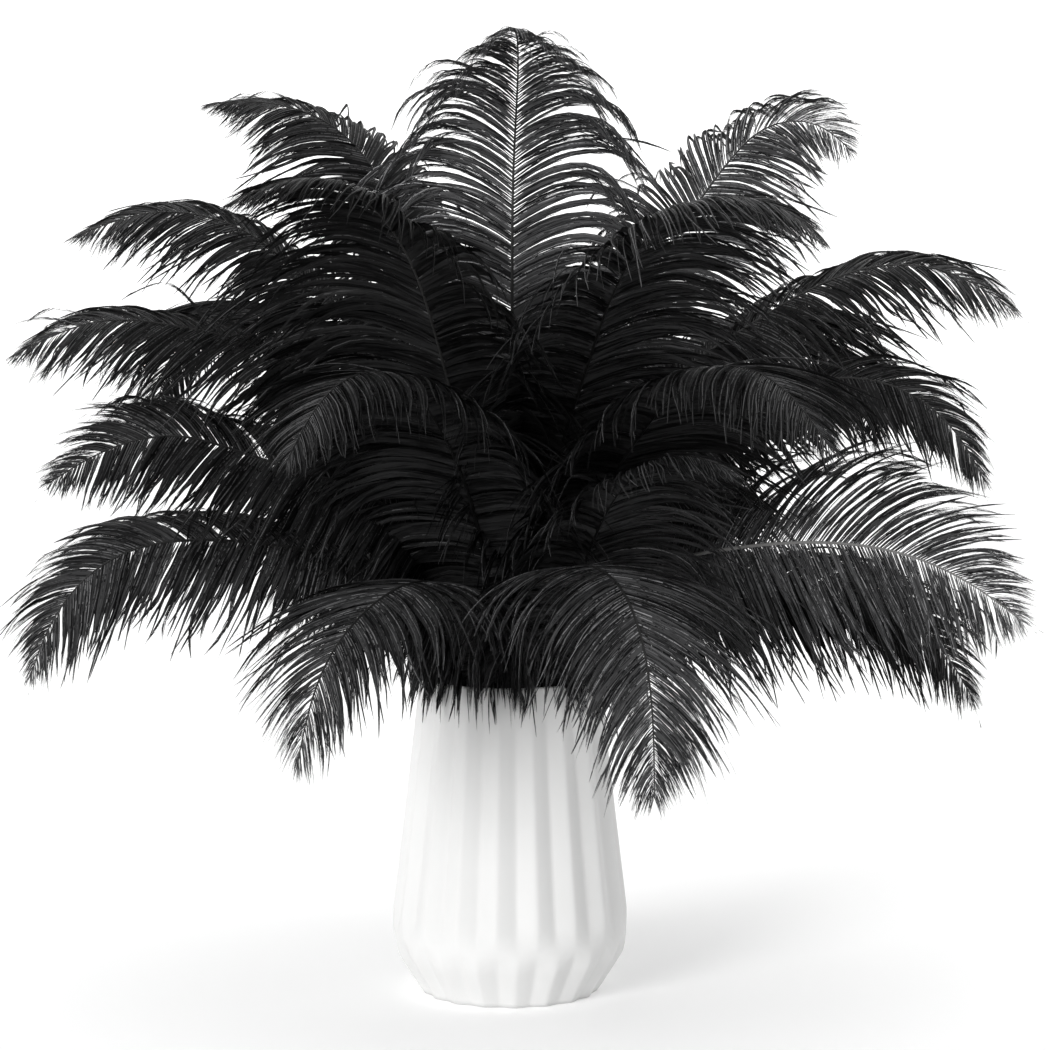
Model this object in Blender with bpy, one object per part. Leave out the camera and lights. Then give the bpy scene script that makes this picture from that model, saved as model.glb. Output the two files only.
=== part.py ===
"""A fountain of black ostrich feathers standing in a white fluted ceramic vase.

+Z is up, -Y faces the viewer, and the vase stands on the XY plane with its axis on Z.
Lengths are in millimetres until a mesh is made, and angles are in degrees. Each feather is
one closed solid: a round quill inside the vase and, above the mouth, a drooping vane whose
edges end in pointed locks.
"""

import math

import bpy
import numpy as np
from mathutils.bvhtree import BVHTree

METRES_PER_MM = 0.001

# Vase: height of each ring, its mean radius, and how far its ridges stand out from the mean.
# A negative flute depth turns the ridges above the knee into valleys below it.
VASE_OUTSIDE = (
    (0.0, 43.2, -0.9),
    (1.5, 44.2, -1.1),
    (21.0, 56.2, -1.4),
    (30.0, 58.9, 0.0),
    (41.0, 57.6, 1.6),
    (86.0, 52.2, 1.6),
    (156.0, 44.2, 1.5),
    (160.0, 43.0, 0.9),
)
VASE_INSIDE = (
    (160.0, 41.2, 0.8),
    (110.0, 45.4, 1.2),
    (31.0, 54.6, 0.0),
    (6.0, 40.5, 0.0),
)
FLUTES = 18
FIRST_RIDGE = -96.5
RIDGE_HALF_WIDTH = 3.2

# Quills: two rings of them lean out on the mouth, each in its own plane through the axis.
# Each row gives the radius at the foot and the radius at the mouth.
QUILL_RINGS = {"inner": (15.0, 20.5), "outer": (28.5, 34.0)}
FOOT_HEIGHT = 6.4
MOUTH_HEIGHT = 160.0
VANE_HEIGHT = 163.0
QUILL_RADIUS = 1.75
SHAFT_TIP_RADIUS = 0.5
SHAFT_SAMPLES = 400

# A shaft that stands upright has no level side of its own, so the way that the whole feather
# heads steadies it. It heads from a place inside the bouquet to the end of the plume.
HEADING_WEIGHT = 0.2
HEADING_FROM_SAMPLE = SHAFT_SAMPLES // 3

# Vane: the angle between barbs and shaft at some shares of the way along the vane. Barbs set
# out level or lifted, then hang under their own weight. Lifted ones hang less.
LEAN_PLACES = (0.0, 0.4, 0.75, 0.93, 1.0)
LEANS = (76.0, 70.0, 60.0, 42.0, 14.0)
RISE = 2.0
DROOP = 0.64
LIFTED_HOLD = 0.3
FORWARD_PULL = 0.45
BARB_STEPS = 8
MIDDLE_STEP = 4

# Barb length: short at both ends of the vane, full between two shares of the way along it.
FULL_FROM = 0.35
FULL_TO = 0.65
ROOT_BARB_SHARE = 0.5
TIP_BARB_SHARE = 0.3
END_BARB_SHARE = 0.24
SHORTEST_BARB = 2.4
NOTCH_SHARE = 0.76

# Sections: the quill's are round, and the vane's have their points in the same order: the top
# of the shaft, three points on the left flank, the underside and three on the right flank.
QUILL_RINGS_BELOW_VANE = 2
VANE_RINGS = 18
RING_POINTS = 8
FLANK_POINTS = RING_POINTS // 2
VANE_HALF_THICKNESS = 1.1
VANE_SHARE_OF_SHAFT = 0.8

# Room kept between neighbours, and how fast a vane is cut back where it would touch one.
ROOM = 0.45
CUT_BACK = 0.85
MOST_CUTS = 60

# Feathers: quill ring, azimuth at the mouth, length of the longest barbs, roll of the vane about
# its shaft (positive lifts its right side), and the places that the shaft's line passes above
# the mouth. The last of them is the end of the plume, which the last barbs make.
FEATHERS = {
    "feather_crest_left": (
        "inner", 215, 112, 0,
        ((-20, -10, 260), (-34, -40, 326), (-58, -70, 388), (-89, -92, 410), (-133, -110, 398)),
    ),
    "feather_crest_right": (
        "inner", 325, 112, 0,
        ((22, -10, 260), (38, -40, 319), (60, -70, 374), (92, -92, 400), (124, -105, 398),
         (149, -112, 380)),
    ),
    "feather_fountain_left": (
        "inner", 250, 92, 0,
        ((-14, -50, 234), (-35, -95, 296), (-57, -130, 321), (-81, -165, 315), (-101, -195, 282)),
    ),
    "feather_fountain_right": (
        "inner", 290, 96, 0,
        ((37, -50, 244), (67, -95, 296), (93, -130, 323), (121, -165, 319), (147, -195, 287)),
    ),
    "feather_front_left": (
        "outer", 250, 94, 0,
        ((-23, -62, 202), (-42, -103, 220), (-65, -138, 212), (-84, -160, 189), (-98, -166, 138)),
    ),
    "feather_front_right": (
        "outer", 276, 102, 0,
        ((14, -62, 203), (33, -108, 228), (52, -150, 222), (63, -180, 190), (66, -190, 127)),
    ),
    "feather_middle_left": (
        "outer", 178, 82, 20,
        ((-65, 0, 274), (-129, -10, 327), (-163, -15, 336), (-201, -22, 339), (-246, -30, 321)),
    ),
    "feather_low_left": (
        "outer", 203, 74, 38,
        ((-54, -30, 242), (-126, -55, 276), (-159, -65, 286), (-191, -75, 281), (-223, -85, 263)),
    ),
    "feather_bottom_left": (
        "outer", 227, 74, 28,
        ((-44, -40, 208), (-101, -70, 232), (-148, -85, 238), (-185, -97, 232), (-213, -105, 207),
         (-228, -108, 172)),
    ),
    "feather_upper_right": (
        "inner", 5, 86, -18,
        ((55, 10, 283), (113, 20, 330), (145, 15, 350), (179, 8, 364), (218, 0, 362),
         (253, -8, 341)),
    ),
    "feather_middle_right": (
        "outer", 15, 74, -22,
        ((85, -5, 274), (143, -20, 308), (181, -35, 310), (212, -45, 292), (233, -50, 259)),
    ),
    "feather_low_right": (
        "outer", 330, 92, -56,
        ((52, -29, 206), (112, -55, 231), (154, -70, 235), (197, -80, 228), (228, -85, 212),
         (249, -85, 196)),
    ),
    "feather_bottom_right": (
        "outer", 353, 80, -24,
        ((58, -2, 196), (120, -15, 212), (168, -30, 207), (206, -42, 186), (229, -50, 151)),
    ),
    "feather_inner_right": (
        "outer", 300, 84, 0,
        ((28, -60, 200), (42, -88, 243), (60, -110, 272), (80, -126, 282), (104, -144, 276)),
    ),
    "feather_top_centre": (
        "inner", 90, 102, 0,
        ((1, 28, 345), (2, 32, 420), (4, 18, 462), (3, -8, 480), (-1, -36, 482)),
    ),
    "feather_top_left": (
        "inner", 130, 80, 16,
        ((-41, 50, 331), (-64, 65, 402), (-93, 75, 435), (-126, 73, 446), (-158, 68, 445)),
    ),
    "feather_top_right": (
        "inner", 48, 80, -36,
        ((56, 40, 316), (92, 60, 389), (110, 62, 414), (130, 58, 433), (152, 50, 436),
         (175, 40, 419)),
    ),
    "feather_upper_left": (
        "inner", 172, 90, 20,
        ((-55, 20, 297), (-106, 30, 360), (-138, 25, 384), (-180, 20, 391), (-220, 10, 378)),
    ),
    "feather_back_centre": (
        "outer", 92, 100, 0,
        ((0, 70, 268), (5, 112, 318), (10, 155, 330), (14, 193, 306), (16, 214, 258)),
    ),
    "feather_back_left": (
        "outer", 145, 94, -8,
        ((-60, 55, 275), (-105, 95, 330), (-145, 125, 340), (-180, 148, 312), (-195, 158, 270)),
    ),
    "feather_back_right": (
        "outer", 40, 94, 8,
        ((60, 55, 270), (105, 95, 325), (148, 125, 335), (183, 146, 305), (198, 156, 262)),
    ),
    "feather_back_low_left": (
        "outer", 117, 88, 0,
        ((-35, 65, 225), (-65, 110, 255), (-90, 150, 245), (-108, 176, 205), (-114, 186, 160)),
    ),
    "feather_back_low_right": (
        "outer", 66, 88, 0,
        ((38, 62, 220), (72, 105, 250), (100, 142, 240), (118, 168, 200), (124, 178, 155)),
    ),
}


def clear_scene():
    for item in list(bpy.data.objects):
        bpy.data.objects.remove(item)


def make_material(name, colour, roughness):
    material = bpy.data.materials.new(name)
    material.use_nodes = True
    shader = material.node_tree.nodes["Principled BSDF"]
    shader.inputs["Base Color"].default_value = (*colour, 1.0)
    shader.inputs["Roughness"].default_value = roughness
    shader.inputs["Metallic"].default_value = 0.0
    return material


def ceramic_material():
    return make_material("ceramic_white", (0.86, 0.86, 0.85), 0.6)


def feather_material(name):
    return make_material(name + "_black", (0.012, 0.012, 0.013), 0.55)


def add_object(name, points, faces, material, smooth):
    mesh = bpy.data.meshes.new(name)
    mesh.from_pydata((np.asarray(points) * METRES_PER_MM).tolist(), [], faces)
    mesh.materials.append(material)
    mesh.polygons.foreach_set("use_smooth", [smooth] * len(mesh.polygons))
    mesh.update()
    item = bpy.data.objects.new(name, mesh)
    bpy.context.scene.collection.objects.link(item)
    return item


# Vase


def flute_corners():
    """Azimuth of each corner round the vase, and whether it is on a ridge (1) or a valley (-1)."""
    pitch = 360.0 / FLUTES
    corners = []
    for flute in range(FLUTES):
        ridge = FIRST_RIDGE + flute * pitch
        valley = ridge + pitch / 2
        for centre, sign in ((ridge, 1.0), (valley, -1.0)):
            corners.append((centre - RIDGE_HALF_WIDTH, sign))
            corners.append((centre + RIDGE_HALF_WIDTH, sign))
    return corners


def vase_ring(height, radius, flute_depth):
    ring = []
    for azimuth, sign in flute_corners():
        reach = radius + sign * flute_depth
        angle = math.radians(azimuth)
        ring.append((reach * math.cos(angle), reach * math.sin(angle), height))
    return ring


def band_triangles(first, count):
    """Two triangles for each side of the band between two rings of points."""
    triangles = []
    for here in range(count):
        after = (here + 1) % count
        low, low_next = first + here, first + after
        high, high_next = low + count, low_next + count
        triangles.append((low, low_next, high_next))
        triangles.append((low, high_next, high))
    return triangles


def vase_mesh():
    rings = [vase_ring(*row) for row in VASE_OUTSIDE + VASE_INSIDE]
    count = len(rings[0])
    points = [point for ring in rings for point in ring]
    faces = []
    for index in range(len(rings) - 1):
        faces.extend(band_triangles(index * count, count))
    faces.append(tuple(range(count))[::-1])
    last = (len(rings) - 1) * count
    faces.append(tuple(range(last, last + count)))
    return points, faces


# Feather shafts


def spline_at(knots, values, places):
    """A natural cubic spline through the values, read at the given places."""
    gaps = np.diff(knots)
    count = len(knots)
    system = np.eye(count)
    target = np.zeros((count, values.shape[1]))
    slopes = np.diff(values, axis=0) / gaps[:, None]
    for index in range(1, count - 1):
        system[index, index - 1] = gaps[index - 1]
        system[index, index] = 2 * (gaps[index - 1] + gaps[index])
        system[index, index + 1] = gaps[index]
        target[index] = 6 * (slopes[index] - slopes[index - 1])
    bends = np.linalg.solve(system, target)
    spans = np.clip(np.searchsorted(knots, places, side="right") - 1, 0, count - 2)
    gap = gaps[spans][:, None]
    ahead = knots[spans + 1][:, None] - places[:, None]
    behind = places[:, None] - knots[spans][:, None]
    curve = (bends[spans] * ahead**3 + bends[spans + 1] * behind**3) / (6 * gap)
    curve += (values[spans] / gap - bends[spans] * gap / 6) * ahead
    curve += (values[spans + 1] / gap - bends[spans + 1] * gap / 6) * behind
    return curve


def shaft_points(ring, azimuth, places):
    """Closely spaced points along a shaft from its foot to its end."""
    foot_radius, mouth_radius = QUILL_RINGS[ring]
    outward = np.array([math.cos(math.radians(azimuth)), math.sin(math.radians(azimuth))])
    foot = (*(outward * foot_radius), FOOT_HEIGHT)
    half = (*(outward * (foot_radius + mouth_radius) / 2), (FOOT_HEIGHT + MOUTH_HEIGHT) / 2)
    mouth = (*(outward * mouth_radius), MOUTH_HEIGHT)
    values = np.array([foot, half, mouth, *places], float)
    knots = np.concatenate([[0.0], np.cumsum(np.linalg.norm(np.diff(values, axis=0), axis=1))])
    return spline_at(knots, values, np.linspace(0.0, knots[-1], SHAFT_SAMPLES))


def along(points, distances):
    """Points and unit tangents at the given distances along a curve."""
    steps = np.linalg.norm(np.diff(points, axis=0), axis=1)
    travelled = np.concatenate([[0.0], np.cumsum(steps)])
    directions = np.gradient(points, travelled, axis=0)
    place = np.stack([np.interp(distances, travelled, points[:, axis]) for axis in range(3)], axis=1)
    tangent = np.stack(
        [np.interp(distances, travelled, directions[:, axis]) for axis in range(3)], axis=1
    )
    return place, unit(tangent)


def unit(vectors):
    return vectors / np.linalg.norm(vectors, axis=-1, keepdims=True)


def side_directions(tangents, heading):
    """The level direction to the right of each tangent, steadied where the shaft stands upright."""
    up = np.array([0.0, 0.0, 1.0])
    sides = np.cross(tangents, up) + HEADING_WEIGHT * np.cross(heading, up)
    sides -= tangents * np.sum(sides * tangents, axis=1, keepdims=True)
    return unit(sides)


# Feather vanes


def ease(value):
    value = np.clip(value, 0.0, 1.0)
    return value * value * (3 - 2 * value)


def barb_lengths(share, longest):
    """Barb length at each share of the way along the vane: short at both ends."""
    growing = ROOT_BARB_SHARE + (1 - ROOT_BARB_SHARE) * ease(share / FULL_FROM)
    fading = 1 - (1 - TIP_BARB_SHARE) * ease((share - FULL_TO) / (1 - FULL_TO))
    return longest * growing * fading


def barb_leans(share):
    return np.radians(np.interp(share, LEAN_PLACES, LEANS))


def barb_curves(roots, tangents, outward, lengths, leans):
    """Points along one barb from each root: it sets out leaning forward, then sinks."""
    start = np.cos(leans)[:, None] * tangents + np.sin(leans)[:, None] * outward
    sunk = unit(FORWARD_PULL * tangents + np.array([0.0, 0.0, -1.0]))
    most = DROOP * (1 - LIFTED_HOLD * np.maximum(outward[:, 2:], 0.0) ** 2)
    points = [roots]
    for step in range(BARB_STEPS):
        hang = most * (step + 0.5) / BARB_STEPS
        direction = unit(start * (1 - hang) + sunk * hang)
        points.append(points[-1] + direction * lengths[:, None] / BARB_STEPS)
    return np.stack(points, axis=1)


def flank_directions(tangents, sides, roll):
    """The way barbs set out from the shaft, square to it, on the left and on the right."""
    tops = np.cross(sides, tangents)
    flanks = []
    for sign in (-1.0, 1.0):
        lift = math.radians(RISE + sign * roll)
        flanks.append(math.cos(lift) * sign * sides + math.sin(lift) * tops)
    return flanks


def rolled_tops(tangents, sides, roll):
    """Square to the shaft and halfway between its two flanks."""
    angle = math.radians(roll)
    return math.cos(angle) * np.cross(sides, tangents) - math.sin(angle) * sides


def feather_plan(ring, azimuth, longest, roll, places):
    """Everything about a feather but how far its vane is cut back."""
    shaft = shaft_points(ring, azimuth, places)
    total = np.linalg.norm(np.diff(shaft, axis=0), axis=1).sum()
    end = total - longest * END_BARB_SHARE
    bare = total * np.argmax(shaft[:, 2] > VANE_HEIGHT) / (len(shaft) - 1)
    below = np.linspace(0.0, bare, QUILL_RINGS_BELOW_VANE, endpoint=False)
    distances = np.concatenate([below, np.linspace(bare, end, VANE_RINGS)])
    roots, tangents = along(shaft, distances)
    heading = unit((shaft[-1] - shaft[HEADING_FROM_SAMPLE]) * np.array([1.0, 1.0, 0.0]))
    share = np.clip((distances - bare) / (end - bare), 0.0, 1.0)
    lengths = barb_lengths(share, longest)
    lengths[QUILL_RINGS_BELOW_VANE + 1 :: 2] *= NOTCH_SHARE
    sides = side_directions(tangents, heading)
    return {
        "roots": roots,
        "end": shaft[-1],
        "tangents": tangents,
        "tops": rolled_tops(tangents, sides, roll),
        "flanks": flank_directions(tangents, sides, roll),
        "lengths": lengths,
        "leans": barb_leans(share),
        "radii": QUILL_RADIUS + (SHAFT_TIP_RADIUS - QUILL_RADIUS) * share,
    }


def round_ring(centre, tangent, top, radius):
    """A round section square to the shaft, its points in the same order as a vane's."""
    side = np.cross(tangent, top)
    turns = np.arange(RING_POINTS) * 2 * math.pi / RING_POINTS
    return centre + radius * (np.outer(np.cos(turns), top) - np.outer(np.sin(turns), side))


def feather_mesh(plan, reach, room=0.0):
    """The loft from foot to end. The reach holds a barb length for each ring on both sides."""
    roots, tangents = plan["roots"], plan["tangents"]
    lift = plan["tops"] * (plan["radii"] + room)[:, None]
    flanks = []
    for sign, outward, lengths in zip((-1.0, 1.0), plan["flanks"], reach):
        curve = barb_curves(roots, tangents, outward, lengths + room, plan["leans"])
        middle, edge = curve[:, MIDDLE_STEP], curve[:, -1]
        thickness = sign * unit(np.cross(edge - roots, tangents))
        thickness *= np.minimum(VANE_HALF_THICKNESS, plan["radii"] * VANE_SHARE_OF_SHAFT)[:, None] + room
        flanks.append((middle + thickness, edge, middle - thickness))
    (left_top, left_edge, left_under), (right_top, right_edge, right_under) = flanks
    sections = np.stack(
        [roots + lift, left_top, left_edge, left_under,
         roots - lift, right_under, right_edge, right_top],
        axis=1,
    )
    tops, radii = plan["tops"], plan["radii"]
    for index in range(QUILL_RINGS_BELOW_VANE + 1):
        sections[index] = round_ring(roots[index], tangents[index], tops[index], radii[index] + room)
    closing = round_ring(plan["end"], tangents[-1], tops[-1], SHAFT_TIP_RADIUS + room)
    sections = np.concatenate([sections, closing[None]])
    points = sections.reshape(-1, 3)
    faces = []
    for index in range(len(sections) - 1):
        faces.extend(vane_triangles(index * RING_POINTS))
    last = (len(sections) - 1) * RING_POINTS
    faces.append(tuple(range(RING_POINTS)))
    faces.append(tuple(range(last, last + RING_POINTS))[::-1])
    return points, faces


def vane_triangles(first):
    """The band between two sections, split from the outer point behind to the inner one ahead."""
    triangles = []
    for here in range(RING_POINTS):
        after = (here + 1) % RING_POINTS
        low, low_next = first + here, first + after
        high, high_next = low + RING_POINTS, low_next + RING_POINTS
        if here % FLANK_POINTS < FLANK_POINTS // 2:
            triangles.append((low, high, low_next))
            triangles.append((low_next, high, high_next))
        else:
            triangles.append((low, high_next, low_next))
            triangles.append((low, high, high_next))
    return triangles


def tree_of(points, faces):
    return BVHTree.FromPolygons(np.asarray(points).tolist(), faces)


def touched_faces(points, faces, neighbours):
    """Faces of a mesh that meet a neighbour or a far part of the same mesh."""
    tree = tree_of(points, faces)
    touched = set()
    for neighbour in neighbours:
        touched.update(pair[0] for pair in tree.overlap(neighbour))
    for one, other in tree.overlap(tree):
        if not set(faces[one]) & set(faces[other]):
            touched.add(one)
    return touched


def cut_back(reach, touched):
    """Shortens the barbs at both rings of each touched face, and says whether any could give."""
    marks = set()
    for face in touched:
        band, column = divmod(face // 2, RING_POINTS)
        side = 0 if column < FLANK_POINTS else 1
        for ring in (band, band + 1):
            if ring < reach.shape[1] and reach[side, ring] > SHORTEST_BARB:
                marks.add((side, ring))
    for side, ring in marks:
        reach[side, ring] = max(SHORTEST_BARB, reach[side, ring] * CUT_BACK)
    return bool(marks)


def fitted_reach(plan, neighbours):
    """The longest vane, ring by ring and side by side, that keeps clear of the neighbours."""
    reach = np.stack([plan["lengths"], plan["lengths"]])
    for _ in range(MOST_CUTS):
        points, faces = feather_mesh(plan, reach, ROOM)
        touched = touched_faces(points, faces, neighbours)
        if not touched or not cut_back(reach, touched):
            break
    return reach


def build_feathers(vase):
    plans = {name: feather_plan(*row) for name, row in FEATHERS.items()}
    bare = {}
    for name, plan in plans.items():
        shortest = np.full((2, len(plan["lengths"])), SHORTEST_BARB)
        bare[name] = tree_of(*feather_mesh(plan, shortest, ROOM))
    placed = [tree_of(*vase)]
    for name, plan in plans.items():
        del bare[name]
        reach = fitted_reach(plan, placed + list(bare.values()))
        placed.append(tree_of(*feather_mesh(plan, reach, ROOM)))
        points, faces = feather_mesh(plan, reach)
        add_object(name, points, faces, feather_material(name), True)


def build():
    clear_scene()
    vase = vase_mesh()
    add_object("vase", *vase, ceramic_material(), False)
    build_feathers(vase)


build()
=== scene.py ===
"""The looks of the black ostrich feathers and their white fluted vase.

Every feather of the frame is replaced by its shaft and its separate barbs, and the vase by a
finer one with soft flutes. Lengths in the tables are millimetres and angles are degrees.
"""

import math
from collections import namedtuple

import bpy
import numpy as np
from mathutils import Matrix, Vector


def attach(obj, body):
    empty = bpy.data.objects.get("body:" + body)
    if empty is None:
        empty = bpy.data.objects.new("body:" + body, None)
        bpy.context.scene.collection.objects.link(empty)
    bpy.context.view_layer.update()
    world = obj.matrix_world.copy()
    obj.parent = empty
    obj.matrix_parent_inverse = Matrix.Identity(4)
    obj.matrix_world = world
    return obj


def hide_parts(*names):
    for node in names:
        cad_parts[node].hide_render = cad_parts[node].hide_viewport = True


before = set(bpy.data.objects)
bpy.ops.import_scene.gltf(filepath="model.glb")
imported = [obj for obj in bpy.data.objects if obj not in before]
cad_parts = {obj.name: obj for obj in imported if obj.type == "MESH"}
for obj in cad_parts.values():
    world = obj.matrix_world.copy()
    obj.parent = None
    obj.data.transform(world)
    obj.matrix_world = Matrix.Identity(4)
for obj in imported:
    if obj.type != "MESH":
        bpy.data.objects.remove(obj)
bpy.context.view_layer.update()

METRES_PER_MM = 0.001
TINY = 1e-6
FIRST_SEED = 100

# Camera: the photograph's viewing angle and the distance that gives its scale at the vase's axis.
AIM = (6.5, 0.0, 236.0)
CAMERA_HEIGHT_ANGLE = 6.2
LENS = 130.0
SENSOR = 36.0
FRAME_HEIGHT = 525.0
CAMERA_REACH = 50.0

# Studio: a white sky, one broad low light to the left of the camera and a floor that glows a
# little, as a light table does, and that bends up into a wall far behind.
WORLD_STRENGTH = 0.92
KEY_SIDE_ANGLE = 34.0
KEY_HEIGHT_ANGLE = 14.0
KEY_BREADTH = 25.0
KEY_STRENGTH = 2.1
FLOOR_GLOW = 0.1
FLOOR_SIDE = 30000.0
FLOOR_FRONT = -30000.0
WALL_PLACE = 3600.0
WALL_BEND = 900.0
WALL_HEIGHT = 4500.0
WALL_BEND_STEPS = 17

# Vase: height of each ring, its mean radius, and how far its ridges stand out from the mean.
VASE_OUTSIDE = (
    (0.0, 43.2, -0.9),
    (1.5, 44.2, -1.1),
    (21.0, 56.2, -1.4),
    (30.0, 58.9, 0.0),
    (41.0, 57.6, 1.6),
    (86.0, 52.2, 1.6),
    (156.0, 44.2, 1.5),
    (160.0, 43.0, 0.9),
)
VASE_INSIDE = (
    (160.0, 41.2, 0.8),
    (110.0, 45.4, 1.2),
    (31.0, 54.6, 0.0),
    (6.0, 40.5, 0.0),
)
FLUTES = 18
FIRST_RIDGE = -96.5
RIDGE_SOFTNESS = 0.9
RIDGE_SAMPLES = 11
PROFILE_SOFTNESS = 2.6
PROFILE_SAMPLES = 17
LIP_ROUNDING = 1.6
LIP_STEPS = 9
POINTS_PER_FLUTE = 16
OUTSIDE_ROWS = 64
INSIDE_ROWS = 12

# Quills: two rings of them lean out on the mouth, each in its own plane through the axis.
QUILL_RINGS = {"inner": (15.0, 20.5), "outer": (28.5, 34.0)}
FOOT_HEIGHT = 6.4
MOUTH_HEIGHT = 160.0
VANE_HEIGHT = 163.0
QUILL_RADIUS = 1.7
SHAFT_TIP_RADIUS = 0.28
SHAFT_TAPER = 0.7
SHAFT_SIDES = 8
SHAFT_ROWS = 70
SHAFT_SAMPLES = 400
UPRIGHT_STEADYING = 0.2
HEADING_PART = 3

# Vane: barbs leave the shaft leaning forward and a little up, then hang under their own weight.
# The lean, and how short the last barbs get, go by the way that is left to the end of the vane.
# That way and the lengths are shares of the longest barb.
LEAN_PLACES = (0.0, 0.1, 0.24, 0.45, 1.0, 2.0, 3.0)
LEANS = (20.0, 42.0, 48.0, 52.0, 60.0, 70.0, 76.0)
FADE_PLACES = (0.0, 0.05, 0.15, 0.3, 0.6, 1.0, 1.4)
FADES = (0.1, 0.15, 0.24, 0.38, 0.63, 0.9, 1.0)
RISE = 2.0
DROOP = 0.64
LIFTED_HOLD = 0.3
FORWARD_PULL = 0.45
ROOT_BARB_SHARE = 0.55
FULL_FROM = 0.35
END_BARB_SHARE = 0.05
NEAR_TIP = 0.9

# How open each vane is at its end, and the shares of its length where it starts to open and is
# as open as it gets. At 0 the barbs close up for half their length, at 1 they part at once.
OPENNESS = {
    "feather_top_centre": (1.0, 0.5, 0.72),
    "feather_top_right": (0.8, 0.4, 0.7),
    "feather_low_right": (0.9, 0.2, 0.5),
    "feather_upper_right": (0.5, 0.4, 0.7),
    "feather_upper_left": (0.25, 0.5, 0.8),
    "feather_middle_left": (0.4, 0.4, 0.7),
    "feather_top_left": (0.4, 0.4, 0.7),
    "feather_front_left": (0.35, 0.5, 0.8),
    "feather_front_right": (0.35, 0.5, 0.8),
}
USUAL_OPENNESS = (0.15, 0.4, 0.7)

# Barbs that leave the shaft more steeply than usual. They also droop more, by a share a degree.
LEAN_SHIFTS = {"feather_top_centre": -9.0}
SHIFT_DROOP = 0.02

# Painted shade and light of each feather: its greys are scaled down inside the bouquet, as
# painted shade, and up where a vane catches the light, as painted light.
PAINTED_SHADE_AND_LIGHT = {"painted_shade": 0.48, "usual": 0.85, "soft": 1.5, "light": 2.4, "pale": 3.8}
FEATHER_SHADE_AND_LIGHT = {
    "feather_crest_left": "painted_shade",
    "feather_bottom_right": "painted_shade",
    "feather_crest_right": "soft",
    "feather_top_centre": "pale",
    "feather_top_right": "light",
    "feather_inner_right": "soft",
    "feather_bottom_left": "soft",
    "feather_front_left": "soft",
    "feather_front_right": "light",
    "feather_low_right": "light",
}
SHAFT_TONES = {"ostrich_shaft": 1.0, "ostrich_shaft_pale": 7.0}
PALE_SHAFTS = ("feather_low_right",)

# Barbs: their spacing, and the widths of each along its way. Spreads are shares of the mean.
BARB_SPACING = 1.7
SPACING_SPREAD = (0.7, 1.3)
END_SPACING_SHARE = 0.62
BARB_STEPS = 10
BARB_WAYS = (0.0, 0.5, 1.0)
BARB_WIDTHS = (0.55, 0.5, 0.12)
BARB_TWIST = 0.45
SIZE_POWER = 0.4

# Down: a web along each barb, painted darker than the barbs as the shade under and between them,
# as wide as the room between barbs times these widths.
WEB_WAYS = (0.0, 0.1, 0.5, 0.8)
WEB_WIDTHS = (1.3, 1.8, 1.9, 0.45)
WEB_ROWS = 9
WEB_DEPTH = 0.35
WEB_OPENING = 0.42
END_THINNING = 0.45

# Locks: neighbouring barbs cling together from a share of their way on, sooner and closer where
# the vane is open, and hardly at all at the end of the plume.
LOCK_BARBS = (3, 10)
MOST_LOCKS = 300
LOCK_CLING = (0.0, 0.42)
CLOSED_CLING = 0.6
OPEN_CLING = 0.25
CLING_FROM = 0.55
CLING_SOONER = 0.35
CLING_TO = 0.85
END_CLING_LOSS = 0.8
CLING_LOOSENESS = (0.5, 1.0)
LOCK_LENGTHS = (0.85, 1.05)
BARB_LENGTHS = (0.76, 1.05)

# Unrest of the barbs: degrees that differ by lock and by barb, and less where the vane is closed.
CLOSED_CALM = 0.4
UNEVEN_LIFTS = (1.6, 1.2)
UNEVEN_LEANS = (0.7, 1.2)
UNEVEN_DROOP = 0.08
ROOT_DROOP = 0.8
ROOT_DROOP_TO = 0.3
WAVE = 1.8
WAVE_TURNS = (0.8, 2.2)
CURL = 0.045
CURL_FROM = 0.6
CURL_RISE = 0.8

# Strays: the share of the barbs that stand off the vane, more of them near the end of a plume.
STRAY_SHARE = 0.03
STRAY_NEAR_TIP = 2.0
STRAY_WISPS = 5.0
STRAY_LIFT = 10.0
WISP_LIFT = 2.0
STRAY_STRETCH = 1.1

# Barbules: fine hairs along each barb, a triangle each.
BARBULES_PER_MM = 1.0
OPEN_BARBULES = 0.5
BARBULE_ROOM = (0.25, 1.2)
BARBULE_LENGTH = 17.0
BARBULE_LENGTHS = (0.6, 1.3)
BARBULE_OVERHANG = 0.5
BARBULE_WIDTH = 0.48
BARBULE_WIDTHS = (0.6, 1.2)
BARBULE_WIDENING = 0.7
OPEN_NARROWING = 0.7
WIDENED_TO = 0.5
BARBULE_ROOT_SPREAD = 0.35
BARBULE_FLATNESS = 0.3
BARBULE_WAYS = (0.0, 0.08, 0.3, 0.7, 1.0)
BARBULE_SPREADS = (0.2, 0.9, 1.5, 1.1, 0.3)
SHORT_OF_END = 1.001

# Greys of the strands from the darkest to the lightest, with the place of each in the ramp, and
# how rough and glossy the strands are. A noise has its scale and its detail.
BARB_GREYS = ((0.3, (0.008, 0.008, 0.0083)), (1.0, (0.085, 0.085, 0.087)))
# The down web and the barbules are real fuzz, but their greys are painted darker than the barbs',
# as painted shade under and between the barbs.
SHADED_DOWN_GREYS = ((0.5, (0.002, 0.002, 0.0022)), (1.0, (0.02, 0.02, 0.0205)))
SHAFT_GREYS = ((0.3, (0.006, 0.006, 0.0062)), (1.0, (0.02, 0.0198, 0.0195)))
BARB_ROUGHNESS = (0.4, 0.55)
BARB_SPECULAR = 0.2
DOWN_ROUGHNESS = (0.5, 0.7)
DOWN_SPECULAR = 0.08
SHAFT_ROUGHNESS = (0.35, 0.5)
SHAFT_SPECULAR = 0.2
PATCHES = (60.0, 2.0)
PATCH_SHARE = 0.6

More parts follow.
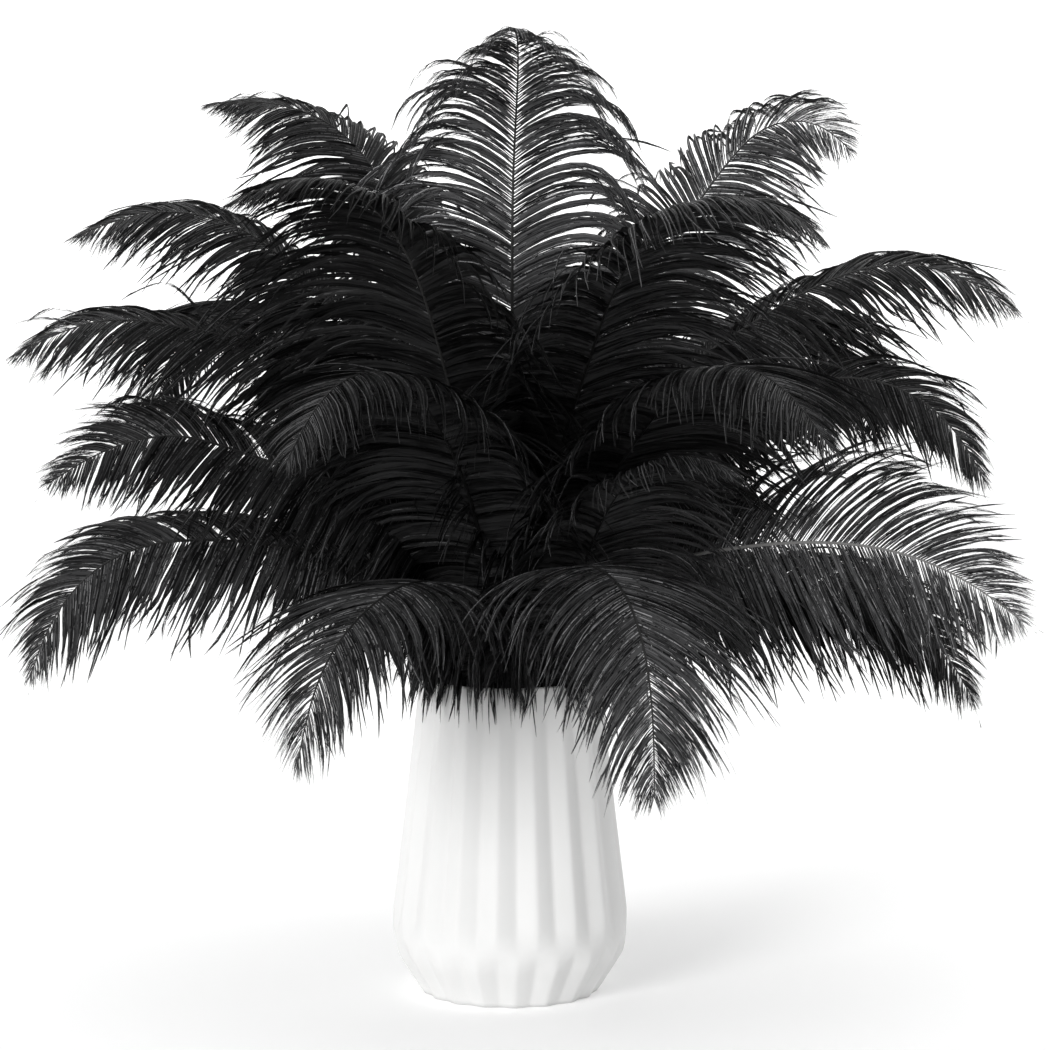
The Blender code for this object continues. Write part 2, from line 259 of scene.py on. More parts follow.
# Ceramic and floor: their tones, and the noise of their clouds and of their grain.
CERAMIC_TONES = ((0.3, (0.62, 0.62, 0.616)), (0.7, (0.66, 0.66, 0.656)))
CERAMIC_ROUGHNESS = (0.55, 0.7)
CERAMIC_SPECULAR = 0.35
CERAMIC_CLOUDS = (14.0, 4.0)
CERAMIC_GRAIN = (700.0, 3.0)
CERAMIC_BUMP = 0.08
CERAMIC_BUMP_DEPTH = 0.0003
FLOOR_TONES = ((0.3, (0.93, 0.93, 0.93)), (0.7, (0.95, 0.95, 0.95)))
FLOOR_ROUGHNESS = 0.9
FLOOR_SPECULAR = 0.1
FLOOR_CLOUDS = (3.0, 2.0)
NOISE_RANGE = (0.3, 0.7)

# Feathers: quill ring, azimuth at the mouth, length of the longest barbs, roll of the vane about
# its shaft (positive lifts its right side), and the places that the shaft's line passes above
# the mouth. The last of them is the end of the plume, which the last barbs make.
FEATHERS = {
    "feather_crest_left": (
        "inner", 215, 112, 0,
        ((-20, -10, 260), (-34, -40, 326), (-58, -70, 388), (-89, -92, 410), (-133, -110, 398)),
    ),
    "feather_crest_right": (
        "inner", 325, 112, 0,
        ((22, -10, 260), (38, -40, 319), (60, -70, 374), (92, -92, 400), (124, -105, 398),
         (149, -112, 380)),
    ),
    "feather_fountain_left": (
        "inner", 250, 92, 0,
        ((-14, -50, 234), (-35, -95, 296), (-57, -130, 321), (-81, -165, 315), (-101, -195, 282)),
    ),
    "feather_fountain_right": (
        "inner", 290, 96, 0,
        ((37, -50, 244), (67, -95, 296), (93, -130, 323), (121, -165, 319), (147, -195, 287)),
    ),
    "feather_front_left": (
        "outer", 250, 94, 0,
        ((-23, -62, 202), (-42, -103, 220), (-65, -138, 212), (-84, -160, 189), (-98, -166, 138)),
    ),
    "feather_front_right": (
        "outer", 276, 102, 0,
        ((14, -62, 203), (33, -108, 228), (52, -150, 222), (63, -180, 190), (66, -190, 127)),
    ),
    "feather_middle_left": (
        "outer", 178, 82, 20,
        ((-65, 0, 274), (-129, -10, 327), (-163, -15, 336), (-201, -22, 339), (-246, -30, 321)),
    ),
    "feather_low_left": (
        "outer", 203, 74, 38,
        ((-54, -30, 242), (-126, -55, 276), (-159, -65, 286), (-191, -75, 281), (-223, -85, 263)),
    ),
    "feather_bottom_left": (
        "outer", 227, 74, 28,
        ((-44, -40, 208), (-101, -70, 232), (-148, -85, 238), (-185, -97, 232), (-213, -105, 207),
         (-228, -108, 172)),
    ),
    "feather_upper_right": (
        "inner", 5, 86, -18,
        ((55, 10, 283), (113, 20, 330), (145, 15, 350), (179, 8, 364), (218, 0, 362),
         (253, -8, 341)),
    ),
    "feather_middle_right": (
        "outer", 15, 74, -22,
        ((85, -5, 274), (143, -20, 308), (181, -35, 310), (212, -45, 292), (233, -50, 259)),
    ),
    "feather_low_right": (
        "outer", 330, 92, -56,
        ((52, -29, 206), (112, -55, 231), (154, -70, 235), (197, -80, 228), (228, -85, 212),
         (249, -85, 196)),
    ),
    "feather_bottom_right": (
        "outer", 353, 80, -24,
        ((58, -2, 196), (120, -15, 212), (168, -30, 207), (206, -42, 186), (229, -50, 151)),
    ),
    "feather_inner_right": (
        "outer", 300, 84, 0,
        ((28, -60, 200), (42, -88, 243), (60, -110, 272), (80, -126, 282), (104, -144, 276)),
    ),
    "feather_top_centre": (
        "inner", 90, 102, 0,
        ((1, 28, 345), (2, 32, 420), (4, 18, 462), (3, -8, 480), (-1, -36, 482)),
    ),
    "feather_top_left": (
        "inner", 130, 80, 16,
        ((-41, 50, 331), (-64, 65, 402), (-93, 75, 435), (-126, 73, 446), (-158, 68, 445)),
    ),
    "feather_top_right": (
        "inner", 48, 80, -36,
        ((56, 40, 316), (92, 60, 389), (110, 62, 414), (130, 58, 433), (152, 50, 436),
         (175, 40, 419)),
    ),
    "feather_upper_left": (
        "inner", 172, 90, 20,
        ((-55, 20, 297), (-106, 30, 360), (-138, 25, 384), (-180, 20, 391), (-220, 10, 378)),
    ),
    "feather_back_centre": (
        "outer", 92, 100, 0,
        ((0, 70, 268), (5, 112, 318), (10, 155, 330), (14, 193, 306), (16, 214, 258)),
    ),
    "feather_back_left": (
        "outer", 145, 94, -8,
        ((-60, 55, 275), (-105, 95, 330), (-145, 125, 340), (-180, 148, 312), (-195, 158, 270)),
    ),
    "feather_back_right": (
        "outer", 40, 94, 8,
        ((60, 55, 270), (105, 95, 325), (148, 125, 335), (183, 146, 305), (198, 156, 262)),
    ),
    "feather_back_low_left": (
        "outer", 117, 88, 0,
        ((-35, 65, 225), (-65, 110, 255), (-90, 150, 245), (-108, 176, 205), (-114, 186, 160)),
    ),
    "feather_back_low_right": (
        "outer", 66, 88, 0,
        ((38, 62, 220), (72, 105, 250), (100, 142, 240), (118, 168, 200), (124, 178, 155)),
    ),
}


# A feather's vane along its shaft, and the barbs on one side of it.
Vane = namedtuple("Vane", "shaft bare end heading longest roll openness lean_shift")
Flank = namedtuple("Flank", "curves tangents sizes rooms opening near_tip stray")


# Shapes that a feather is worked out from


def unit(vectors):
    return vectors / np.linalg.norm(vectors, axis=-1, keepdims=True)


def ease(value):
    """From 0 to 1 with a soft start and a soft end."""
    value = np.clip(value, 0.0, 1.0)
    return value * value * (3 - 2 * value)


def spline_at(knots, values, places):
    """A natural cubic spline through the values, read at the given places."""
    gaps = np.diff(knots)
    count = len(knots)
    system = np.eye(count)
    target = np.zeros((count, values.shape[1]))
    slopes = np.diff(values, axis=0) / gaps[:, None]
    for index in range(1, count - 1):
        system[index, index - 1] = gaps[index - 1]
        system[index, index] = 2 * (gaps[index - 1] + gaps[index])
        system[index, index + 1] = gaps[index]
        target[index] = 6 * (slopes[index] - slopes[index - 1])
    bends = np.linalg.solve(system, target)
    spans = np.clip(np.searchsorted(knots, places, side="right") - 1, 0, count - 2)
    gap = gaps[spans][:, None]
    ahead = knots[spans + 1][:, None] - places[:, None]
    behind = places[:, None] - knots[spans][:, None]
    curve = (bends[spans] * ahead**3 + bends[spans + 1] * behind**3) / (6 * gap)
    curve += (values[spans] / gap - bends[spans] * gap / 6) * ahead
    curve += (values[spans + 1] / gap - bends[spans + 1] * gap / 6) * behind
    return curve


def shaft_points(ring, azimuth, places):
    """Closely spaced points along a shaft from its foot to its end."""
    foot_radius, mouth_radius = QUILL_RINGS[ring]
    outward = np.array([math.cos(math.radians(azimuth)), math.sin(math.radians(azimuth))])
    foot = (*(outward * foot_radius), FOOT_HEIGHT)
    half = (*(outward * (foot_radius + mouth_radius) / 2), (FOOT_HEIGHT + MOUTH_HEIGHT) / 2)
    mouth = (*(outward * mouth_radius), MOUTH_HEIGHT)
    values = np.array([foot, half, mouth, *places], float)
    knots = np.concatenate([[0.0], np.cumsum(np.linalg.norm(np.diff(values, axis=0), axis=1))])
    return spline_at(knots, values, np.linspace(0.0, knots[-1], SHAFT_SAMPLES))


def along(points, distances):
    """Points and unit tangents at the given distances along a curve."""
    steps = np.linalg.norm(np.diff(points, axis=0), axis=1)
    travelled = np.concatenate([[0.0], np.cumsum(steps)])
    directions = np.gradient(points, travelled, axis=0)
    place = [np.interp(distances, travelled, points[:, axis]) for axis in range(3)]
    tangent = [np.interp(distances, travelled, directions[:, axis]) for axis in range(3)]
    return np.stack(place, axis=1), unit(np.stack(tangent, axis=1))


def side_directions(tangents, heading):
    """The level direction to the right of each tangent, steadied where the shaft stands upright."""
    up = np.array([0.0, 0.0, 1.0])
    sides = np.cross(tangents, up) + UPRIGHT_STEADYING * np.cross(heading, up)
    sides -= tangents * np.sum(sides * tangents, axis=1, keepdims=True)
    return unit(sides)


def barb_sizes(share, left):
    """Barb length as a share of the longest: short at both ends of the vane."""
    growing = ROOT_BARB_SHARE + (1 - ROOT_BARB_SHARE) * ease(share / FULL_FROM)
    return growing * np.interp(left, FADE_PLACES, FADES)


def barb_curves(roots, tangents, outward, lengths, leans, droops):
    """Points along one barb from each root: it sets out leaning forward, then sinks."""
    start = np.cos(leans)[:, None] * tangents + np.sin(leans)[:, None] * outward
    sunk = unit(FORWARD_PULL * tangents + np.array([0.0, 0.0, -1.0]))
    lifted = LIFTED_HOLD * np.maximum(outward[:, 2:], 0.0) ** 2
    most = DROOP * droops[:, None] * (1 - lifted)
    points = [roots]
    for step in range(BARB_STEPS):
        hang = np.minimum(most * (step + 0.5) / BARB_STEPS, 1.0)
        direction = unit(start * (1 - hang) + sunk * hang)
        points.append(points[-1] + direction * lengths[:, None] / BARB_STEPS)
    return np.stack(points, axis=1)


# Meshes


def add_mesh(name, points, triangles, material, smooth):
    """A mesh from arrays of points in millimetres and of triangles."""
    mesh = bpy.data.meshes.new(name)
    mesh.vertices.add(len(points))
    mesh.vertices.foreach_set("co", (points * METRES_PER_MM).astype(np.float32).ravel())
    mesh.loops.add(triangles.size)
    mesh.loops.foreach_set("vertex_index", triangles.astype(np.int32).ravel())
    mesh.polygons.add(len(triangles))
    mesh.polygons.foreach_set("loop_start", np.arange(0, triangles.size, 3, dtype=np.int32))
    mesh.polygons.foreach_set("use_smooth", np.broadcast_to(smooth, len(triangles)).tolist())
    mesh.update(calc_edges=True)
    mesh.validate()
    mesh.materials.append(material)
    item = bpy.data.objects.new(name, mesh)
    bpy.context.scene.collection.objects.link(item)
    return item


def tube(rings):
    """Triangles that join rings of points, closed at both ends. Rings are (rows, sides, 3)."""
    rows, sides = rings.shape[:2]
    first = np.arange(rows - 1)[:, None] * sides
    here = first + np.arange(sides)[None]
    after = first + (np.arange(sides)[None] + 1) % sides
    one = np.stack([here, after, after + sides], axis=-1)
    other = np.stack([here, after + sides, here + sides], axis=-1)
    walls = np.concatenate([one.reshape(-1, 3), other.reshape(-1, 3)])
    fan = np.arange(1, sides - 1)
    start = np.stack([0 * fan, fan + 1, fan], axis=-1)
    last = (rows - 1) * sides
    end = np.stack([0 * fan + last, fan + last, fan + 1 + last], axis=-1)
    return rings.reshape(-1, 3), np.concatenate([walls, start, end])


def joined(parts):
    """One list of points and triangles from several."""
    points, triangles, first = [], [], 0
    for part_points, part_triangles in parts:
        points.append(part_points)
        triangles.append(part_triangles + first)
        first += len(part_points)
    return np.concatenate(points), np.concatenate(triangles)


# Feathers


def shaft_mesh(vane):
    """The round shaft from its foot to the end of the vane, where it is thinnest."""
    distances = np.linspace(0.0, vane.end, SHAFT_ROWS)
    roots, tangents = along(vane.shaft, distances)
    sides = side_directions(tangents, vane.heading)
    tops = np.cross(sides, tangents)
    share = np.clip((distances - vane.bare) / (vane.end - vane.bare), 0.0, 1.0) ** SHAFT_TAPER
    radii = QUILL_RADIUS + (SHAFT_TIP_RADIUS - QUILL_RADIUS) * share
    turns = np.arange(SHAFT_SIDES) * 2 * math.pi / SHAFT_SIDES
    spokes = np.cos(turns)[None, :, None] * sides[:, None]
    spokes = spokes + np.sin(turns)[None, :, None] * tops[:, None]
    return tube(roots[:, None] + radii[:, None, None] * spokes)


def barb_places(vane, random):
    """Distances along the shaft at which barbs leave it, closer together near the end."""
    places = []
    place = vane.bare
    while place < vane.end:
        places.append(place)
        left = (vane.end - place) / vane.longest
        closeness = np.interp(left, (0.0, 1.0), (END_SPACING_SHARE, 1.0))
        place += BARB_SPACING * closeness * random.uniform(*SPACING_SPREAD)
    return np.array(places)


def lock_numbers(count, random):
    """Which lock each barb belongs to. Locks differ in how many barbs they have."""
    last_barbs = np.cumsum(random.integers(*LOCK_BARBS, count))
    return np.searchsorted(last_barbs, np.arange(count), side="right")


def uneven(locks, lock_spread, barb_spread, random):
    """A random angle for each barb, partly its lock's and partly its own."""
    shared = random.normal(0.0, lock_spread, MOST_LOCKS)[locks]
    return shared + random.normal(0.0, barb_spread, len(locks))


def lift_angles(vane, sign, locks, unrest, stray, wisps, random):
    """How far each barb sets out above the level, seen along the shaft."""
    lifts = RISE + sign * vane.roll + unrest * uneven(locks, *UNEVEN_LIFTS, random)
    astray = stray * random.normal(0.0, STRAY_LIFT, len(locks))
    return np.radians(lifts + astray * (1 + WISP_LIFT * wisps))


def barb_lengths(vane, share, left, locks, stray, random):
    """Lengths that follow the vane's outline and differ by lock and by barb."""
    shared = random.uniform(*LOCK_LENGTHS, MOST_LOCKS)[locks]
    own = random.uniform(*BARB_LENGTHS, len(locks)) * np.where(stray, STRAY_STRETCH, 1.0)
    return vane.longest * barb_sizes(share, left) * shared * own


def lean_angles(vane, left, locks, unrest, random):
    """The angle between each barb and the shaft where the barb sets out."""
    leans = np.interp(left, LEAN_PLACES, LEANS) + vane.lean_shift
    return np.radians(leans + unrest * uneven(locks, *UNEVEN_LEANS, random))


def droop_shares(vane, share, random):
    """How much each barb droops. The first ones on the shaft droop the most."""
    droops = random.normal(1.0, UNEVEN_DROOP, len(share))
    droops = droops + ROOT_DROOP * (1 - ease(share / ROOT_DROOP_TO))
    return droops - SHIFT_DROOP * vane.lean_shift


def cling(curves, locks, near_tip, opening, random):
    """Draws each barb towards the middle barb of its lock, most of all in its outer part."""
    way = np.linspace(0.0, 1.0, curves.shape[1])
    for lock in np.unique(locks):
        members = np.flatnonzero(locks == lock)
        open_here = opening[members[0]]
        leader = curves[members[len(members) // 2]]
        start = CLING_FROM - CLING_SOONER * open_here
        calm = CLOSED_CLING + (1 - CLOSED_CLING) * open_here
        most = random.uniform(*LOCK_CLING) * calm + OPEN_CLING * open_here
        pull = most * ease((way - start) / (CLING_TO - start))
        pull *= 1 - END_CLING_LOSS * near_tip[members[0]]
        looseness = random.uniform(*CLING_LOOSENESS, (len(members), 1, 1))
        curves[members] += (leader - curves[members]) * pull[None, :, None] * looseness
    return curves


def waved(curves, lengths, tangents, tops, random):
    """The barbs with soft waves, and with ends that curl a little."""
    each = (len(curves), 1)
    way = np.linspace(0.0, 1.0, curves.shape[1])[None]
    turns = way * random.uniform(*WAVE_TURNS, each) + random.uniform(0.0, 1.0, each)
    waves = WAVE * way * np.sin(2 * math.pi * turns) * random.uniform(0.0, 1.0, each)
    hook = np.clip((way - CURL_FROM) / (1 - CURL_FROM), 0.0, 1.0) ** 2
    hook = CURL * lengths[:, None] * hook
    along_shaft = waves + hook * random.normal(0.0, 1.0, each)
    curves = curves + along_shaft[..., None] * tangents[:, None]
    return curves + (hook * random.normal(0.0, CURL_RISE, each))[..., None] * tops[:, None]


def barb_flank(vane, sign, random):
    """The barbs on one side of the shaft: the curve of each, the shaft's direction at its root,
    its length as a share of the longest, the room it has, how open the vane is there, how near
    the plume's end it is, and whether it strays."""
    distances = barb_places(vane, random)
    count = len(distances)
    share = (distances - vane.bare) / (vane.end - vane.bare)
    left = (vane.end - distances) / vane.longest
    roots, tangents = along(vane.shaft, distances)
    sides = side_directions(tangents, vane.heading)
    tops = np.cross(sides, tangents)
    locks = lock_numbers(count, random)
    near_tip = 1 - ease(left / NEAR_TIP)
    most_open, opens_from, opens_to = vane.openness
    opening = most_open * ease((share - opens_from) / (opens_to - opens_from))
    wisps = near_tip * opening
    stray_share = STRAY_SHARE * (1 + STRAY_NEAR_TIP * near_tip + STRAY_WISPS * wisps)
    stray = random.uniform(0.0, 1.0, count) < stray_share
    unrest = CLOSED_CALM + (1 - CLOSED_CALM) * np.maximum(opening, near_tip)
    lifts = lift_angles(vane, sign, locks, unrest, stray, wisps, random)
    outward = np.cos(lifts)[:, None] * sign * sides + np.sin(lifts)[:, None] * tops
    lengths = barb_lengths(vane, share, left, locks, stray, random)
    leans = lean_angles(vane, left, locks, unrest, random)
    droops = droop_shares(vane, share, random)
    curves = barb_curves(roots, tangents, outward, lengths, leans, droops)
    curves = cling(curves, locks, near_tip, opening, random)
    curves = waved(curves, lengths, tangents, tops, random)
    rooms = np.gradient(distances) * np.sin(leans)
    return Flank(curves, tangents, lengths / vane.longest, rooms, opening, near_tip, stray)


def barb_frames(curves, tangents, random):
    """Across and out of each barb at each of its points, with a slight twist."""
    ahead = unit(np.gradient(curves, axis=1))
    forward = np.sum(tangents[:, None] * ahead, axis=2, keepdims=True)
    across = unit(tangents[:, None] - ahead * forward + TINY)
    out = np.cross(ahead, across)
    twist = random.normal(0.0, BARB_TWIST, (len(curves), 1, 1))
    turned_across = np.cos(twist) * across + np.sin(twist) * out
    turned_out = np.cos(twist) * out - np.sin(twist) * across
    return turned_across, turned_out


def ribbon_mesh(curves, across, breadths, ways, widths):
    """A ribbon along each barb, as wide as its breadth times the widths given along its way."""
    count, rows = curves.shape[:2]
    width = np.interp(np.arange(rows) / BARB_STEPS, ways, widths)
    half = (breadths[:, None] * width[None] / 2)[..., None]
    points = np.stack([curves - across * half, curves + across * half], axis=2)
    first = (np.arange(count)[:, None] * rows + np.arange(rows - 1)[None]) * 2
    one = np.stack([first, first + 1, first + 3], axis=-1)
    other = np.stack([first, first + 3, first + 2], axis=-1)
    return points.reshape(-1, 3), np.concatenate([one.reshape(-1, 3), other.reshape(-1, 3)])


def read_along(line, barb, way):
    """The values of a line at the given shares of the way along the given barbs."""
    rows = line.shape[1]
    place = np.minimum(way * (rows - 1), rows - SHORT_OF_END)
    low = place.astype(int)
    part = (place - low)[:, None]
    return line[barb, low] * (1 - part) + line[barb, low + 1] * part


def beside(lines, barb, way, turn, stand_off):
    """Points that stand off the given barbs, and the direction across each barb there."""
    middle, side, lift = (read_along(line, barb, way) for line in lines)
    distance = stand_off * np.interp(way, BARBULE_WAYS, BARBULE_SPREADS)
    off = np.cos(turn) * side + BARBULE_FLATNESS * np.sin(turn) * lift
    return middle + off * distance[:, None], side


def barbule_mesh(flank, across, out, rooms, longest, random):
    """Long soft barbules that follow each barb and stand off it a little, a triangle each."""
    counts = flank.sizes * longest * BARBULES_PER_MM * (1 + OPEN_BARBULES * flank.opening)
    counts *= np.clip(rooms / BARB_SPACING, *BARBULE_ROOM)
    barb = np.repeat(np.arange(len(counts)), np.round(counts).astype(int))
    count = len(barb)
    sizes = flank.sizes[barb]
    reach = BARBULE_LENGTH * random.uniform(*BARBULE_LENGTHS, count) / (sizes * longest)
    root_way = random.uniform(0.0, 1.0, count) * (1 - BARBULE_OVERHANG * reach)
    tip_way = np.minimum(root_way + reach, 1.0)
    turn = random.uniform(0.0, 2 * math.pi, count)[:, None]
    stand_off = np.sqrt(random.uniform(0.0, 1.0, count))
    lines = (flank.curves, across, out)
    root, side = beside(lines, barb, root_way, turn, BARBULE_ROOT_SPREAD * stand_off)
    tip, _ = beside(lines, barb, tip_way, turn, stand_off)
    closed = 1 - OPEN_NARROWING * flank.opening[barb]
    near_root = 1 - ease(root_way / WIDENED_TO)
    width = BARBULE_WIDTH * (1 + BARBULE_WIDENING * closed * near_root)
    half = width / 2 * random.uniform(*BARBULE_WIDTHS, count) * sizes ** SIZE_POWER
    base = side * half[:, None]
    points = np.stack([root - base, root + base, tip], axis=1)
    return points.reshape(-1, 3), np.arange(3 * count).reshape(-1, 3)


def down_web(flank, across, out, thin):
    """The web along each barb that doesn't stray, just under it; its darker greys are painted
    shade.
    """
    kept = ~flank.stray
    under = WEB_DEPTH * np.abs(out[..., 2:]) * np.array([0.0, 0.0, 1.0])
    web = (flank.curves - under)[kept, :WEB_ROWS]
    breadths = (flank.rooms * (1 - WEB_OPENING * flank.opening) * thin)[kept]
    return ribbon_mesh(web, across[kept, :WEB_ROWS], breadths, WEB_WAYS, WEB_WIDTHS)


def vane_of(row, openness, lean_shift):
    """The vane of a row of the table: where it starts and ends, and where its plume heads."""
    ring, azimuth, longest, roll, places = row
    shaft = shaft_points(ring, azimuth, places)
    total = np.linalg.norm(np.diff(shaft, axis=0), axis=1).sum()
    end = total - longest * END_BARB_SHARE
    bare = total * np.argmax(shaft[:, 2] > VANE_HEIGHT) / (len(shaft) - 1)
    reach = shaft[-1] - shaft[len(shaft) // HEADING_PART]
    heading = unit(reach * np.array([1.0, 1.0, 0.0]))
    return Vane(shaft, bare, end, heading, longest, roll, openness, lean_shift)


def feather_meshes(vane, random):
    """The barbs, the down and barbules between them with their greys painted darker as shade, and
    the shaft.
    """
    strong, soft = [], []
    for sign in (-1.0, 1.0):
        flank = barb_flank(vane, sign, random)
        across, out = barb_frames(flank.curves, flank.tangents, random)
        thin = 1 - END_THINNING * flank.near_tip
        breadths = flank.sizes ** SIZE_POWER
        strong.append(ribbon_mesh(flank.curves, across, breadths, BARB_WAYS, BARB_WIDTHS))
        soft.append(down_web(flank, across, out, thin))
        # The barbules take the down's darker greys too: painted shade.
        soft.append(barbule_mesh(flank, across, out, flank.rooms * thin, vane.longest, random))
    return joined(strong), joined(soft), shaft_mesh(vane)


def add_feathers():
    """One piece a feather, with a material each for its barbs, its down and its shaft."""
    # Lit and shaded copies of the barb and down materials, one for each tone of painted light and
    # shade.
    tones = {name: (barb_material(name), shaded_down_material(name)) for name in PAINTED_SHADE_AND_LIGHT}
    shafts = [shaft_material(name, tone) for name, tone in SHAFT_TONES.items()]
    for number, (name, row) in enumerate(FEATHERS.items()):
        random = np.random.default_rng(FIRST_SEED + number)
        openness = OPENNESS.get(name, USUAL_OPENNESS)
        parts = feather_meshes(vane_of(row, openness, LEAN_SHIFTS.get(name, 0.0)), random)
        points, triangles = joined(parts)
        materials = (*tones[FEATHER_SHADE_AND_LIGHT.get(name, "usual")], shafts[name in PALE_SHAFTS])
        piece = add_mesh(name + "_barbs", points, triangles, materials[0], False)
        for material in materials[1:]:
            piece.data.materials.append(material)
        counts = [len(part_triangles) for _, part_triangles in parts]
        kinds = np.repeat(np.arange(len(parts), dtype=np.int32), counts)
        piece.data.polygons.foreach_set("material_index", kinds)
        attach(piece, "root")
        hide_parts(name)


# Vase


def softened(heights, rows, column):
    """A column of the profile read at the given heights, with its corners rounded."""
    known = np.array(rows)
    order = np.argsort(known[:, 0])
    offsets = np.linspace(-PROFILE_SOFTNESS, PROFILE_SOFTNESS, PROFILE_SAMPLES)
    lowest, highest = known[:, 0].min(), known[:, 0].max()
    room = np.minimum(heights - lowest, highest - heights)[:, None]
    offsets = np.clip(offsets[None], -room, room)
    return np.interp(heights[:, None] + offsets, known[order, 0], known[order, column]).mean(axis=1)


def flute_wave(azimuths):
    """1 on a ridge and -1 in a valley, with flat facets between and soft corners."""
    offsets = np.linspace(-RIDGE_SOFTNESS, RIDGE_SOFTNESS, RIDGE_SAMPLES)
    turn = (azimuths[:, None] + offsets[None] - FIRST_RIDGE) * FLUTES / 360.0
    distance = np.abs(turn - np.round(turn))
    wave = (1 - 4 * distance).mean(axis=1)
    return wave / wave.max()


def vase_rings():
    """Rows of points from the middle of the base, up the outside, over the lip and down inside."""
    top, outer, outer_flute = VASE_OUTSIDE[-1]
    _, inner, inner_flute = VASE_INSIDE[0]
    rise = np.linspace(0.0, 1.0, OUTSIDE_ROWS)
    outside = (top - LIP_ROUNDING) * rise
    radii = [softened(outside, VASE_OUTSIDE, 1)]
    flutes = [softened(outside, VASE_OUTSIDE, 2)]
    heights = [outside]
    turn = np.linspace(0.0, math.pi, LIP_STEPS)[1:-1]
    heights.append(top - LIP_ROUNDING + LIP_ROUNDING * np.sin(turn))
    middle, half = (radii[0][-1] + inner) / 2, (radii[0][-1] - inner) / 2
    radii.append(middle + half * np.cos(turn))
    flutes.append(np.linspace(outer_flute, inner_flute, len(turn)))
    inside = np.linspace(top - LIP_ROUNDING, VASE_INSIDE[-1][0], INSIDE_ROWS)
    heights.append(inside)
    radii.append(softened(inside, VASE_INSIDE, 1))
    flutes.append(softened(inside, VASE_INSIDE, 2))
    heights, radii, flutes = (np.concatenate(values) for values in (heights, radii, flutes))
    azimuths = np.linspace(0.0, 360.0, FLUTES * POINTS_PER_FLUTE, endpoint=False)
    reach = radii[:, None] + flutes[:, None] * flute_wave(azimuths)[None]
    angles = np.radians(azimuths)[None]
    height_grid = np.broadcast_to(heights[:, None], reach.shape)
    return np.stack([reach * np.cos(angles), reach * np.sin(angles), height_grid], axis=-1)


def add_vase(material):
    """The vase, smooth all over but for the flat faces of its base and its floor."""
    points, triangles = tube(vase_rings())
    flat = 2 * (FLUTES * POINTS_PER_FLUTE - 2)
    smooth = np.ones(len(triangles), bool)
    smooth[-flat:] = False
    piece = add_mesh("vase_fluted", points, triangles, material, smooth)
    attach(piece, "root")
    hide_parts("vase")


# Materials


def new_material(name):
    material = bpy.data.materials.new(name)
    material.use_nodes = True
    nodes = material.node_tree.nodes
    return material, nodes, material.node_tree.links, nodes["Principled BSDF"]


def object_noise(nodes, links, scale, detail):
    place = nodes.new("ShaderNodeTexCoord")
    noise = nodes.new("ShaderNodeTexNoise")
    noise.inputs["Scale"].default_value = scale
    noise.inputs["Detail"].default_value = detail
    links.new(place.outputs["Object"], noise.inputs["Vector"])
    return noise.outputs["Fac"]


def ramp(nodes, links, factor, stops):
    """A colour ramp with the given places and colours."""
    node = nodes.new("ShaderNodeValToRGB")
    for element, (place, colour) in zip(node.color_ramp.elements, stops):
        element.position = place
        element.color = (*colour, 1.0)
    links.new(factor, node.inputs["Fac"])
    return node.outputs["Color"]


def spread(nodes, links, factor, low, high):
    """A noise's usual range stretched to the range from low to high."""
    node = nodes.new("ShaderNodeMapRange")
    node.inputs["From Min"].default_value = NOISE_RANGE[0]
    node.inputs["From Max"].default_value = NOISE_RANGE[1]
    node.inputs["To Min"].default_value = low
    node.inputs["To Max"].default_value = high
    links.new(factor, node.inputs["Value"])
    return node.outputs["Result"]


def toned(stops, tone):
    return [(place, [tone * value for value in colour]) for place, colour in stops]


def strand_material(name, stops, roughness, specular):
    """Black keratin. Each strand has its own tone between the two stops."""
    material, nodes, links, shader = new_material(name)
    strand = nodes.new("ShaderNodeNewGeometry").outputs["Random Per Island"]
    patches = object_noise(nodes, links, *PATCHES)
    blend = nodes.new("ShaderNodeMath")
    blend.operation = "MULTIPLY_ADD"
    links.new(patches, blend.inputs[0])
    blend.inputs[1].default_value = PATCH_SHARE
    links.new(strand, blend.inputs[2])
    links.new(ramp(nodes, links, blend.outputs["Value"], stops), shader.inputs["Base Color"])
    links.new(spread(nodes, links, patches, *roughness), shader.inputs["Roughness"])
    shader.inputs["Specular IOR Level"].default_value = specular
    return material


# Each tone gives a lit or shaded copy of the barb material: painted light or painted shade.
def barb_material(tone):
    stops = toned(BARB_GREYS, PAINTED_SHADE_AND_LIGHT[tone])
    return strand_material("ostrich_barb_" + tone, stops, BARB_ROUGHNESS, BARB_SPECULAR)


# The down's greys are painted darker than the barbs', as shade under and between them.
def shaded_down_material(tone):
    stops = toned(SHADED_DOWN_GREYS, PAINTED_SHADE_AND_LIGHT[tone])
    return strand_material("ostrich_shaded_down_" + tone, stops, DOWN_ROUGHNESS, DOWN_SPECULAR)


def shaft_material(name, tone):
    return strand_material(name, toned(SHAFT_GREYS, tone), SHAFT_ROUGHNESS, SHAFT_SPECULAR)


def ceramic_material():
    """White matte ceramic with faint clouds and a fine grain."""
    material, nodes, links, shader = new_material("matte_ceramic")
    clouds = object_noise(nodes, links, *CERAMIC_CLOUDS)
    grain = object_noise(nodes, links, *CERAMIC_GRAIN)
    links.new(ramp(nodes, links, clouds, CERAMIC_TONES), shader.inputs["Base Color"])
    links.new(spread(nodes, links, grain, *CERAMIC_ROUGHNESS), shader.inputs["Roughness"])
    shader.inputs["Specular IOR Level"].default_value = CERAMIC_SPECULAR
    bump = nodes.new("ShaderNodeBump")
    bump.inputs["Strength"].default_value = CERAMIC_BUMP
    bump.inputs["Distance"].default_value = CERAMIC_BUMP_DEPTH
    links.new(grain, bump.inputs["Height"])
    links.new(bump.outputs["Normal"], shader.inputs["Normal"])
    return material


